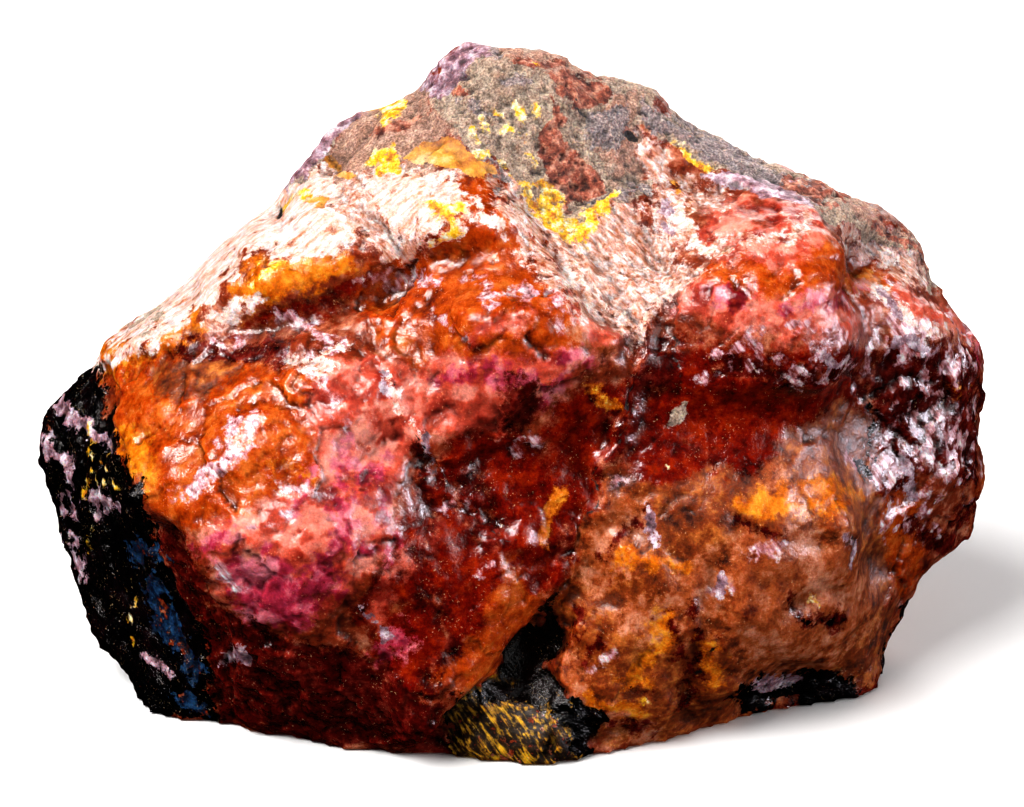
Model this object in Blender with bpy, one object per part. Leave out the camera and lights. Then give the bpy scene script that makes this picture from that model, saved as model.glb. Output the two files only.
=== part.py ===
"""A rough lump of rhodochrosite, as broken from its vein: one solid stone that rests on a flat break.

The stone's skin is stretched over corners that were placed by eye on the photograph. It is then broken
along ledges and cracks, chipped all over, thinned to few triangles, and cut flat underneath.
"""

import math

import bmesh
import bpy
import numpy as np
from mathutils import Vector, noise

# Driving dimensions, in metres. The eye is where the photograph was taken from.
MILLIMETRE = 0.001
STONE_WIDTH = 80 * MILLIMETRE
EYE_DISTANCE = 300 * MILLIMETRE
EYE_ELEVATION = math.radians(22)
AIM_HEIGHT = 23.2 * MILLIMETRE

# The photograph: its frame in pixels, and how many of them the stone is wide.
FRAME_WIDTH = 1024
FRAME_HEIGHT = 807
STONE_PIXELS = 939
PIXEL = STONE_WIDTH / STONE_PIXELS

# A point inside the stone, from which every part of its skin can be seen.
HEART = Vector((0.0, 0.0, 24 * MILLIMETRE))
# How round the skin is where it bends over a corner, as a share of the distance from the heart.
CORNER_ROUNDNESS = 0.04
# How far the body goes on below the flat break before it is cut.
BELOW_THE_BREAK = 6 * MILLIMETRE
SKIN_SUBDIVISIONS = 7
# Triangles that the whole skin is thinned to, of which the cut takes some away.
SKIN_TRIANGLES = 11600

# Corners of the skin: a column and a row of the photograph, and how many millimetres the corner
# lies behind the stone's middle, so that nearer ones are negative. First the outline.
LEFT_RIM = [
    (124, 666, -8), (99, 640, -5), (81, 595, -2), (65, 535, 1), (57, 500, 3), (44, 447, 4),
    (51, 415, 5), (70, 387, 5), (98, 358, 4), (128, 327, 4), (163, 312, 2), (184, 293, 2),
    (222, 250, 2), (268, 205, 3), (313, 162, 4), (347, 121, 5), (382, 102, 5), (428, 86, 4),
]
TOP_RIM = [
    (448, 64, 4), (468, 53, 3), (505, 52, 3), (548, 58, 3), (588, 77, 4), (640, 88, 5),
    (665, 98, 5), (684, 121, 5), (726, 143, 5), (785, 172, 5), (845, 198, 5),
]
RIGHT_RIM = [
    (890, 214, 5), (924, 250, 5), (934, 280, 4), (953, 306, 4), (984, 335, 4), (985, 365, 4),
    (977, 405, 4), (974, 440, 4), (982, 480, 4), (978, 518, 3), (955, 549, 2), (922, 567, 1),
    (906, 596, -1), (891, 630, -4), (882, 665, -6),
]
# The black flank on the left, and the sharp edge where it turns into the red front.
DARK_FLANK = [
    (104, 368, -2), (116, 400, -7), (124, 440, -12), (138, 480, -15), (150, 512, -16.5),
    (178, 545, -17.5), (203, 600, -18), (218, 650, -17), (82, 430, -3), (92, 500, -5),
    (108, 580, -6), (138, 650, -9.5), (150, 600, -11),
]
# The great swelling on the left, which comes nearest to the eye.
LEFT_LOBE = [
    (150, 345, -6), (200, 342, -10), (260, 330, -12), (310, 320, -12.5), (350, 345, -14.5),
    (175, 420, -15.5), (240, 400, -17), (300, 370, -16.5), (200, 480, -19.5), (280, 460, -20.5),
    (350, 420, -19), (380, 440, -18), (230, 540, -22), (300, 540, -23), (370, 520, -21.5),
    (250, 600, -21.5), (320, 610, -22.5), (390, 600, -21.5), (270, 670, -19), (350, 680, -21),
]
# The swelling above and right of it, down to the plane between the cracks.
MIDDLE_LOBE = [
    (375, 275, -9.5), (420, 265, -10), (470, 262, -11), (520, 275, -12.5), (560, 290, -13.5),
    (605, 330, -14.5), (400, 320, -14), (460, 320, -16.5), (530, 325, -17), (590, 355, -16.5),
    (420, 370, -16), (480, 385, -18), (550, 380, -17.5), (610, 400, -16), (445, 425, -17),
    (500, 440, -17.5), (560, 450, -17), (590, 480, -16), (440, 500, -18.5), (500, 520, -18.5),
    (560, 530, -17.5), (440, 570, -20.5), (510, 580, -20), (400, 650, -22), (470, 640, -21.5),
    (430, 710, -22), (540, 590, -18), (535, 650, -18.5), (500, 720, -21.5), (560, 720, -21.5),
]
# The right half: a swelling at the top, a hollow band, and the broad brown face below.
RIGHT_LOBE = [
    (640, 350, -14), (622, 420, -15), (600, 480, -16), (580, 540, -17), (560, 600, -18),
    (700, 280, -12), (715, 240, -9), (770, 215, -8), (820, 225, -8), (850, 265, -10),
    (740, 295, -14.5), (800, 305, -15), (850, 330, -13), (690, 350, -14.5), (740, 370, -16),
    (800, 370, -16), (852, 385, -13.5), (660, 410, -15.5), (720, 425, -14.5), (790, 425, -14.5),
    (850, 440, -13.5), (640, 490, -18), (700, 500, -18), (780, 500, -18), (850, 500, -15),
    (620, 560, -19.5), (690, 580, -20), (760, 570, -19.5), (830, 570, -17), (880, 560, -11),
    (610, 650, -21), (680, 650, -20), (750, 640, -19), (820, 640, -16.5), (868, 620, -11),
    (650, 710, -20.5), (730, 695, -17.5), (800, 690, -13.5), (855, 670, -10),
]
RIGHT_FLANK = [
    (880, 260, -3), (905, 300, -5), (945, 335, -4), (882, 345, -8), (925, 380, -6.5),
    (880, 420, -8), (930, 450, -6.5), (885, 480, -9.5), (940, 500, -5), (920, 535, -5.5),
]
# The weathered top, which leans back to the peak.
UPPER_RIND = [
    (458, 75, 2), (500, 72, 0), (560, 80, 0), (610, 100, 1), (650, 115, 2), (440, 110, 0),
    (500, 130, -3), (570, 140, -2.5), (630, 150, -2), (690, 160, 0), (365, 130, 2), (400, 130, 0),
    (350, 160, -1), (430, 150, -3), (480, 170, -5.5), (540, 200, -5.5), (590, 200, -5.5),
    (650, 200, -5), (700, 205, -5), (330, 200, -3.5), (390, 190, -5), (440, 210, -8),
    (495, 220, -9.5), (560, 250, -9.5), (620, 275, -10), (670, 255, -8.5), (280, 240, -5),
    (330, 240, -8), (390, 235, -8.5), (230, 285, -6), (280, 285, -9.5), (335, 272, -9.5),
    (195, 310, -5), (640, 315, -12), (760, 187, -1), (850, 218, -1),
]
# The far side. Each corner is behind a part that shows, so that none stands out past the outline.
FAR_SIDE = [
    (130, 400, 11), (180, 335, 12), (240, 290, 14), (320, 240, 15), (400, 190, 14), (480, 130, 12),
    (560, 120, 12), (640, 165, 14), (740, 215, 14), (830, 265, 13), (905, 315, 11), (925, 400, 12),
    (905, 480, 13), (885, 550, 9), (180, 450, 18), (260, 380, 20), (350, 310, 22), (450, 250, 21),
    (560, 240, 20), (670, 280, 21), (780, 330, 21), (860, 400, 18), (260, 520, 21), (350, 450, 25),
    (460, 400, 25), (570, 390, 24), (680, 420, 25), (790, 470, 22), (460, 480, 26), (600, 480, 25),
]
# The near edge of the flat break, where the stone meets what it rests on.
BREAK_EDGE = [
    (155, 712), (220, 722), (300, 736), (385, 749), (450, 757), (500, 764), (545, 766),
    (590, 756), (640, 742), (700, 728), (755, 715), (800, 708), (845, 699), (875, 690),
]
# The far edge of the flat break, in millimetres to the right of the middle and behind it.
FAR_BREAK_EDGE = [
    (-31, -4), (-31, 5), (-27, 14), (-18, 20), (-6, 23), (6, 23), (16, 21), (25, 17), (30, 9),
    (32, 0),
]

# Ledges of the near side: how far the edge stands out and over what distance it fades, in millimetres,
# and its course over the photograph. The part on the left of the way along is the one that stands out.
NEAR_LEDGES = {
    "slab over the groove": (1.5, 5, [(195, 335), (245, 322), (300, 300), (343, 288), (385, 260), (435, 250)]),
    "lip of the middle swelling": (0.9, 4, [(641, 348), (602, 322), (570, 280), (527, 214), (495, 172)]),
    "edge over the black flank": (
        1.4, 4, [(112, 380), (122, 430), (138, 478), (152, 515), (190, 520), (204, 563), (226, 602), (236, 660)],
    ),
    "rind over the washed patch": (0.6, 3, [(430, 95), (455, 135), (498, 166), (520, 195), (548, 230)]),
    "bumps over the hollow band": (1.0, 4, [(690, 385), (730, 393), (780, 396), (830, 386), (862, 368)]),
    "brow of the brown face": (0.9, 5, [(862, 458), (800, 452), (750, 443), (690, 446)]),
    "step on the left swelling": (0.7, 3, [(290, 425), (262, 400), (215, 422), (160, 442)]),
    "roof of the hollow foot": (1.6, 5, [(450, 712), (490, 683), (520, 655), (546, 610)]),
    "pink bulge": (0.6, 5, [(430, 442), (485, 434), (507, 418), (534, 378), (566, 366), (606, 350)]),
    "shelf right of the peak": (0.8, 5, [(690, 165), (740, 190), (800, 205), (870, 235)]),
}
# Cracks of the near side: their depth and half width in millimetres, and their course.
NEAR_CRACKS = {
    "main crack": (
        1.4, 0.9, [(648, 335), (637, 380), (619, 423), (606, 452), (593, 491), (583, 524), (563, 589), (524, 650)],
    ),
    "crack left of the middle": (
        0.9, 0.8, [(367, 340), (377, 364), (392, 382), (406, 423), (439, 465), (472, 511), (514, 544)],
    ),
    "groove under the slab": (1.6, 1.6, [(240, 334), (290, 314), (340, 299), (372, 276), (405, 262)]),
    "crease of the right column": (
        1.6, 1.6, [(880, 262), (868, 295), (874, 335), (865, 380), (858, 440), (868, 500), (884, 560)],
    ),
    "crease beside the pocket": (1.0, 1.2, [(633, 131), (643, 176), (659, 209), (675, 255), (668, 300)]),
    "streak down the brown face": (0.9, 1.1, [(742, 520), (728, 560), (716, 620), (700, 670), (688, 705)]),
    "fold of the left slope": (0.8, 1.2, [(338, 160), (352, 190), (372, 222), (400, 246)]),
}
# Pits of the near side: their depth and radius in millimetres, and their place. A lump is negative.
NEAR_PITS = {
    "foot": (2.4, 4.8, (522, 706)),
    "hole in the brown face": (1.3, 2.2, (815, 614)),
    "second hole": (0.8, 1.6, (640, 692)),
    "hole in the left slope": (1.2, 1.3, (280, 210)),
    "brick red pocket": (1.2, 2.2, (582, 182)),
    "upper pocket": (0.8, 2.2, (585, 95)),
    "shadow under the right foot": (1.6, 3.5, (800, 692)),
    "peach grain": (-1.2, 1.6, (230, 674)),
    "grain in the crack": (-1.0, 1.1, (681, 414)),
    "knob of the right column": (-1.0, 3.0, (958, 470)),
    "upper knob of the right column": (-0.8, 3.0, (925, 345)),
    "knuckle of the right swelling": (-1.0, 3.5, (820, 265)),
    "knuckle of the middle swelling": (-1.0, 3.5, (545, 305)),
}
# The same for the far side, in millimetres to the right as seen from in front, and up.
FAR_LEDGES = {
    "long break": (1.6, 6, [(-30, 22), (-14, 27), (2, 24), (16, 30), (28, 28)]),
    "lower break": (1.3, 5, [(26, 14), (12, 12), (0, 15), (-16, 9), (-27, 12)]),
    "upright break": (1.1, 5, [(6, 48), (10, 38), (4, 30), (8, 20), (3, 8)]),
}
FAR_CRACKS = {
    "slanting crack": (1.2, 1.0, [(-20, 38), (-12, 30), (-10, 18), (-2, 6)]),
    "short crack": (1.0, 0.9, [(14, 40), (18, 30), (26, 22)]),
}
FAR_PITS = {
    "broken socket": (1.8, 5.0, (-18, 18)),
    "upper socket": (1.4, 4.5, (12, 36)),
    "low knob": (-1.4, 4.5, (16, 16)),
}

# How far the ledges and cracks wander off their courses, and over what length, in millimetres.
WANDER = 0.9
WANDER_LENGTH = 4.5
# Chips that cover the skin: how wide each is and how far it tilts, in millimetres.
CHIPS = ((9.0, 2.0), (4.2, 0.9))
# How much shallower they are along the photographed outline, and over what turn away from it.
OUTLINE_CALM = 0.75
OUTLINE_TURN = 0.16
GRAIN_SIZE = 2.6
GRAIN_DEPTH = 0.22


def sight_axes():
    """The photograph's up and the way back to the eye."""
    up = Vector((0.0, math.sin(EYE_ELEVATION), math.cos(EYE_ELEVATION)))
    toward_eye = Vector((0.0, -math.cos(EYE_ELEVATION), math.sin(EYE_ELEVATION)))
    return up, toward_eye


def line_of_sight(column, row):
    """The eye, and the point beside the stone's middle that a pixel covers."""
    up, toward_eye = sight_axes()
    middle = Vector((0.0, 0.0, AIM_HEIGHT))
    across = (column - FRAME_WIDTH / 2) * PIXEL
    above = (FRAME_HEIGHT / 2 - row) * PIXEL
    return middle + toward_eye * EYE_DISTANCE, middle + Vector((across, 0.0, 0.0)) + up * above


def seen(column, row, back):
    """Where the line of sight through a pixel is so many millimetres behind the middle."""
    eye, through = line_of_sight(column, row)
    return eye.lerp(through, (back * MILLIMETRE - eye.y) / (through.y - eye.y))


def on_the_ground(column, row):
    """Where the line of sight through a pixel meets the ground."""
    eye, through = line_of_sight(column, row)
    return eye.lerp(through, eye.z / (eye.z - through.z))


def places_in_photograph(points):
    """The column and row of the photograph for each point, as an array."""
    up, toward_eye = sight_axes()
    out = points - np.array((0.0, 0.0, AIM_HEIGHT))
    nearness = EYE_DISTANCE / (EYE_DISTANCE - out @ np.array(toward_eye))
    columns = FRAME_WIDTH / 2 + out[:, 0] * nearness / PIXEL
    rows = FRAME_HEIGHT / 2 - (out @ np.array(up)) * nearness / PIXEL
    return np.stack([columns, rows], axis=1)


def corners():
    """Every corner that the skin is stretched over."""
    groups = (
        LEFT_RIM, TOP_RIM, RIGHT_RIM, DARK_FLANK, LEFT_LOBE, MIDDLE_LOBE, RIGHT_LOBE, RIGHT_FLANK,
        UPPER_RIND, FAR_SIDE,
    )
    found = [seen(*place) for group in groups for place in group]
    edge = [on_the_ground(*place) for place in BREAK_EDGE]
    edge += [Vector((*place, 0.0)) * MILLIMETRE for place in FAR_BREAK_EDGE]
    below = [point - Vector((0.0, 0.0, BELOW_THE_BREAK)) for point in edge]
    underneath = Vector((0.0, 0.0, -2 * BELOW_THE_BREAK))
    return found + edge + below + [underneath]


def stretched_skin(points):
    """A function from directions out of the heart to how far out the skin is.

    Its answers are rounded to a tenth of a micrometre, so that every run gives the same ones.
    """
    out = np.array([point - HEART for point in points])
    far = np.linalg.norm(out, axis=1)
    ways = out / far[:, None]

    def pull(directions):
        gaps = np.linalg.norm(directions[:, None] - ways[None], axis=2)
        return np.hypot(gaps, CORNER_ROUNDNESS)

    count = len(points)
    system = np.ones((count + 1, count + 1))
    system[:count, :count] = pull(ways)
    system[count, count] = 0.0
    weights = np.linalg.solve(system, np.append(far, 0.0))
    return lambda directions: np.round(pull(directions) @ weights[:count] + weights[count], 7)


def nearest_on_course(places, course):
    """How far each place is from a course, and on which side of it: negative is its left."""
    best = np.full(len(places), np.inf)
    side = np.ones(len(places))
    course = np.array(course, float)
    for start, end in zip(course, course[1:]):
        run = end - start
        out = places - start
        share = np.clip(out @ run / (run @ run), 0.0, 1.0)
        gap = np.linalg.norm(out - share[:, None] * run, axis=1)
        nearer = gap < best
        best[nearer] = gap[nearer]
        side[nearer] = np.sign(run[0] * out[:, 1] - run[1] * out[:, 0])[nearer]
    return best, side


def relief(places, unit, ledges, cracks, pits):
    """How far, in millimetres, the named forms push the skin out. A unit of places is so many of them."""
    rise = np.zeros(len(places))
    for height, reach, course in ledges.values():
        gap, side = nearest_on_course(places, course)
        gap = gap * unit
        rise -= side * height * np.exp(-gap / reach) * np.tanh(gap / 0.5)
    for depth, half_width, course in cracks.values():
        gap, _ = nearest_on_course(places, course)
        rise -= depth * np.exp(-((gap * unit / half_width) ** 2))
    for depth, radius, place in pits.values():
        gap = np.linalg.norm(places - np.array(place), axis=1) * unit
        rise -= depth * np.exp(-((gap / radius) ** 2))
    return rise


def chipped(place, size, tilt):
    """How far a flat chip of this size, tilted its own way, stands out at a place in millimetres."""
    _, centres = noise.voronoi(place / size)
    lean = noise.cell_vector(centres[0] * size) - Vector((0.5, 0.5, 0.5))
    return tilt * lean.dot(place / size - centres[0])


def stray(point):
    """How far a course wanders off at a point, as a vector in metres."""
    place = point / MILLIMETRE / WANDER_LENGTH
    apart = Vector((31.0, 17.0, 53.0))
    ways = [noise.noise(place + number * apart) for number in range(3)]
    return Vector(ways) * WANDER * MILLIMETRE


def broken_skin():
    """The skin's mesh, with its ledges, cracks, pits and chips, before it is cut flat."""
    form = bmesh.new()
    bmesh.ops.create_icosphere(form, subdivisions=SKIN_SUBDIVISIONS, radius=1.0)
    directions = np.array([vertex.co for vertex in form.verts])
    far = stretched_skin(corners())(directions)
    points = np.array(HEART) + directions * far[:, None]

    facing_eye = directions @ np.array(sight_axes()[1])
    near_share = np.clip(facing_eye * 4 + 0.6, 0.0, 1.0)
    far_share = np.clip(directions[:, 1] * 4 - 0.6, 0.0, 1.0)
    strayed = points + np.array([stray(Vector(point)) for point in points])
    rise = near_share * relief(
        places_in_photograph(strayed), PIXEL / MILLIMETRE, NEAR_LEDGES, NEAR_CRACKS, NEAR_PITS
    )
    upright = strayed[:, [0, 2]] / MILLIMETRE
    rise += far_share * relief(upright, 1.0, FAR_LEDGES, FAR_CRACKS, FAR_PITS)
    rough = 1 - OUTLINE_CALM * np.exp(-((facing_eye / OUTLINE_TURN) ** 2))
    for vertex, direction, way_out, lift, roughness in zip(form.verts, directions, far, rise, rough):
        place = (HEART + Vector(direction) * way_out) / MILLIMETRE
        lift += roughness * sum(chipped(place, size, tilt) for size, tilt in CHIPS)
        lift += GRAIN_DEPTH * noise.fractal(place / GRAIN_SIZE, 1.0, 2.0, 3)
        vertex.co = HEART + Vector(direction) * (way_out + lift * MILLIMETRE)
    mesh = bpy.data.meshes.new("rhodochrosite_stone")
    form.to_mesh(mesh)
    form.free()
    return mesh


def thinned(mesh):
    """The mesh in few triangles, which are small only where its shape needs them."""
    holder = bpy.data.objects.new("skin", mesh)
    bpy.context.scene.collection.objects.link(holder)
    thinner = holder.modifiers.new("fewer triangles", "DECIMATE")
    thinner.ratio = SKIN_TRIANGLES / len(mesh.polygons)
    graph = bpy.context.evaluated_depsgraph_get()
    fewer = bpy.data.meshes.new_from_object(holder.evaluated_get(graph))
    bpy.data.objects.remove(holder)
    bpy.data.meshes.remove(mesh)
    fewer.name = "rhodochrosite_stone"
    return fewer


def cut_flat(mesh):
    """Cuts the break that the stone rests on, centres the stone over the origin and makes it its width."""
    form = bmesh.new()
    form.from_mesh(mesh)
    everything = form.verts[:] + form.edges[:] + form.faces[:]
    ground = Vector((0.0, 0.0, 0.0))
    up = Vector((0.0, 0.0, 1.0))
    cut = bmesh.ops.bisect_plane(form, geom=everything, plane_co=ground, plane_no=up, clear_inner=True)
    rim = [part for part in cut["geom_cut"] if isinstance(part, bmesh.types.BMEdge)]
    bmesh.ops.triangle_fill(form, edges=rim, use_beauty=True)
    bmesh.ops.recalc_face_normals(form, faces=form.faces[:])
    corners_found = np.array([vertex.co for vertex in form.verts])
    middle = (corners_found.min(axis=0) + corners_found.max(axis=0)) / 2
    bmesh.ops.translate(form, verts=form.verts[:], vec=(-middle[0], -middle[1], 0.0))
    size = STONE_WIDTH / np.ptp(corners_found[:, 0])
    bmesh.ops.scale(form, verts=form.verts[:], vec=(size, size, size))
    form.to_mesh(mesh)
    form.free()


def rhodochrosite_finish():
    """Massive rhodochrosite: glassy red-orange carbonate."""
    finish = bpy.data.materials.new("massive_rhodochrosite")
    finish.use_nodes = True
    shader = finish.node_tree.nodes["Principled BSDF"]
    shader.inputs["Base Color"].default_value = (0.46, 0.10, 0.035, 1.0)
    shader.inputs["Roughness"].default_value = 0.35
    shader.inputs["Metallic"].default_value = 0.0
    return finish


def rhodochrosite_stone():
    mesh = thinned(broken_skin())
    cut_flat(mesh)
    mesh.materials.append(rhodochrosite_finish())
    stone = bpy.data.objects.new("rhodochrosite_stone", mesh)
    bpy.context.scene.collection.objects.link(stone)
    return stone


for leftover in list(bpy.data.objects):
    bpy.data.objects.remove(leftover)
rhodochrosite_stone()
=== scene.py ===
import math

import bmesh
import bpy
import numpy as np
from mathutils import Matrix, Vector, noise


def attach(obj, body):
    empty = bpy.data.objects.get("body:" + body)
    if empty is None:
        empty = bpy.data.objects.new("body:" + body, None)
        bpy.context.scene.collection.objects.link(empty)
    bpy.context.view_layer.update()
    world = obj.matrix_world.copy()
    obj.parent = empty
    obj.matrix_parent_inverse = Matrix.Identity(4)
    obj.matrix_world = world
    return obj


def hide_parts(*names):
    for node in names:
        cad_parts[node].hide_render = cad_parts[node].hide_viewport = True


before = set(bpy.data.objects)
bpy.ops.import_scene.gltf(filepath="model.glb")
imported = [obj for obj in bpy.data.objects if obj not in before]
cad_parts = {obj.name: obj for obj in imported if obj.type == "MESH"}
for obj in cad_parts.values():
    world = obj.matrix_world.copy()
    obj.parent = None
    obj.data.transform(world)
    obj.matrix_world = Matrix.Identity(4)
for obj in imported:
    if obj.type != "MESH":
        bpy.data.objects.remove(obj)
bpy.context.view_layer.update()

# The stone. The real piece is one lump of massive rhodochrosite, a manganese carbonate, knocked out of its
# vein and left as it broke: glassy orange and red inside, a weathered rind on top, black manganese oxide
# down its left flank, and iron stains, fibres and crusts between them. It rests on a flat break.
MILLIMETRE = 0.001

# Where the photograph was taken from, and how it sees the stone. Places on the near side are given as a
# column and a row of the photograph, because that is how the minerals were mapped.
EYE_ELEVATION = math.radians(22)
EYE_DISTANCE = 292.45 * MILLIMETRE
AIM = Vector((-0.044, -1.418, 22.774)) * MILLIMETRE
FRAME_WIDTH = 1024
FRAME_HEIGHT = 807
PIXEL = 0.083054 * MILLIMETRE
PHOTOGRAPH_UP = Vector((0.0, math.sin(EYE_ELEVATION), math.cos(EYE_ELEVATION)))
TOWARD_EYE = Vector((0.0, -math.cos(EYE_ELEVATION), math.sin(EYE_ELEVATION)))

# How fine the stone's surface is made, and from what turn to the eye it is twice as fine. Then how much of
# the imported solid's facets is smoothed away first, and up to what height the break underneath stays flat.
SAME_PLACE = 0.0001 * MILLIMETRE
SKIN_CELL = 0.65 * MILLIMETRE
FINER_TURN = 0.05
FACET_SMOOTHING = 3
RESTING_HEIGHT = 0.06 * MILLIMETRE


def places_in_photograph(points):
    """The column and row of the photograph for each point, as an array."""
    out = points - np.array(AIM)
    nearness = EYE_DISTANCE / (EYE_DISTANCE - out @ np.array(TOWARD_EYE))
    columns = FRAME_WIDTH / 2 + out[:, 0] * nearness / PIXEL
    rows = FRAME_HEIGHT / 2 - (out @ np.array(PHOTOGRAPH_UP)) * nearness / PIXEL
    return np.stack([columns, rows], axis=1)


def gap_to_course(places, course):
    """How far each place is from a course of points, or from its only point."""
    best = np.full(len(places), np.inf)
    course = np.array(course, float)
    for start, end in zip(course, np.append(course[1:], course[-1:], axis=0)):
        run = end - start
        out = places - start
        share = np.clip(out @ run / max(run @ run, 1e-9), 0.0, 1.0)
        best = np.minimum(best, np.linalg.norm(out - share[:, None] * run, axis=1))
    return best


def depth_in_patch(places, outline):
    """How far each place is inside an outline. Outside it the answer is negative."""
    inside = np.zeros(len(places), bool)
    for (x1, y1), (x2, y2) in zip(outline, outline[1:] + outline[:1]):
        if y1 != y2:
            crossed = (y1 > places[:, 1]) != (y2 > places[:, 1])
            inside ^= crossed & (places[:, 0] < x1 + (places[:, 1] - y1) * (x2 - x1) / (y2 - y1))
    gap = gap_to_course(places, outline + outline[:1])
    return np.where(inside, gap, -gap)


def share_of(places, patches, streaks, softness):
    """How much of each place a mineral takes, from its patches and its streaks of some half width."""
    deepest = np.full(len(places), -np.inf)
    for outline in patches:
        deepest = np.maximum(deepest, depth_in_patch(places, outline))
    for half_width, course in streaks:
        deepest = np.maximum(deepest, half_width - gap_to_course(places, course))
    return np.clip(0.5 + deepest / softness / 2, 0.0, 1.0)


# The two cracks, from top to bottom.
MAIN_CRACK = [
    (648, 335), (637, 380), (619, 423), (606, 452), (593, 491), (583, 524), (563, 589), (540, 625),
]
LEFT_CRACK = [(377, 364), (392, 382), (406, 423), (439, 465), (472, 511), (514, 544)]
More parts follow.
